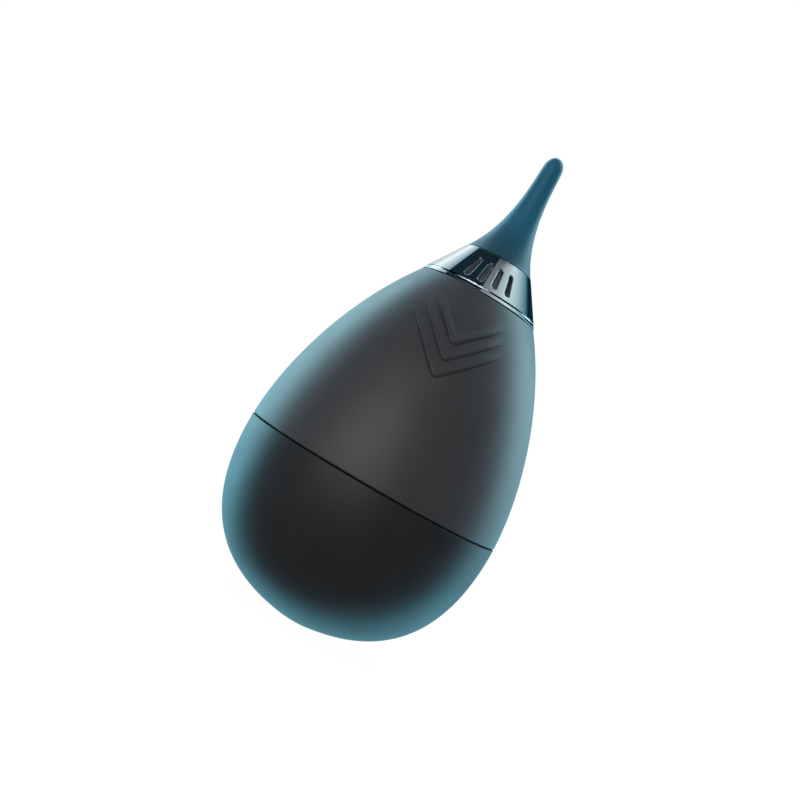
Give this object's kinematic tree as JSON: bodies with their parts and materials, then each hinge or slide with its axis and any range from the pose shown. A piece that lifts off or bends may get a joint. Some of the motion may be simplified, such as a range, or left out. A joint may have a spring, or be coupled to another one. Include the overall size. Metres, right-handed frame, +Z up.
{
  "type": "bulb nasal aspirator",
  "caption": "Egg-shaped squeeze-bulb nasal aspirator with a weighted push-fit base cup, a slotted chrome vent collar over a one-way valve, and a slim soft nozzle.",
  "frame": {"origin": "centre of the flat foot, at the bottom of the base cup", "axes": "+Z up the long axis from the foot to the nozzle tip; -Y is the front, with four vent slots; +X is to the right seen from the front"},
  "size_m": [0.066, 0.066, 0.1268],
  "materials": {
    "cup_plastic": "soft-touch matt, near-black graphite",
    "bulb_silicone": "matt charcoal silicone",
    "nozzle_silicone": "satin teal-blue silicone",
    "chrome_trim": "mirror chrome plating on plastic",
    "steel": "turned and zinc-plated steel",
    "screen_steel": "woven stainless mesh",
    "fitting_plastic": "moulded grey plastic",
    "tube_plastic": "glossy natural plastic",
    "seal_rubber": "matt black rubber",
    "flap_silicone": "pale satin silicone",
    "filter_foam": "open-cell grey foam"
  },
  "bodies": {
    "base": {"base_cup": "cup_plastic", "base_weight": "steel", "weight_cover": "fitting_plastic", "weight_cover_seal": "seal_rubber", "weight_screw_1": "steel", "weight_screw_2": "steel", "weight_screw_3": "steel", "seam_o_ring": "seal_rubber"},
    "bulb": {"squeeze_bulb": "bulb_silicone", "seam_ring": "fitting_plastic"},
    "head": {"neck_insert": "fitting_plastic", "clamp_ring": "chrome_trim"},
    "washer": {"neck_gasket": "seal_rubber"},
    "valve": {"valve_plate": "fitting_plastic", "air_tube": "tube_plastic", "tube_o_ring": "seal_rubber", "flap_retainer": "fitting_plastic", "spigot_o_ring": "seal_rubber", "filter_foam": "filter_foam", "filter_screen": "screen_steel"},
    "flap": {"vent_flap": "flap_silicone"},
    "collar": {"collar": "chrome_trim"},
    "nozzle": {"nozzle": "nozzle_silicone"}
  },
  "joints": [
    {"name": "bulb_open", "type": "slide", "parent": "base", "child": "bulb", "axis": [0, 0, 1], "range_m": [0, 0.03]},
    {"name": "bulb_squeeze", "type": "slide", "parent": "bulb", "child": "head", "axis": [0, 0, -1], "range_m": [0, 0.018], "stiffness_N_per_m": 1200, "deforming": ["squeeze_bulb"]},
    {"name": "head_lift", "type": "slide", "parent": "head", "child": "washer", "axis": [0, 0, 1], "range_m": [0, 0.0045]},
    {"name": "head_turn", "type": "hinge", "parent": "washer", "child": "valve", "pos_m": [0, 0, 0.0886], "axis": [0, 0, 1], "range_deg": [0, 1080]},
    {"name": "flap_lift", "type": "slide", "parent": "valve", "child": "flap", "axis": [0, 0, 1], "range_m": [0, 0.0008], "stiffness_N_per_m": 50},
    {"name": "collar_lift", "type": "slide", "parent": "valve", "child": "collar", "axis": [0, 0, 1], "range_m": [0, 0.012]},
    {"name": "nozzle_pull", "type": "slide", "parent": "collar", "child": "nozzle", "axis": [0, 0, 1], "range_m": [0, 0.014]}
  ],
  "couplings": [
    {"joint": "head_turn", "follows": "head_lift", "rad_per_m": 4188.8}
  ]
}
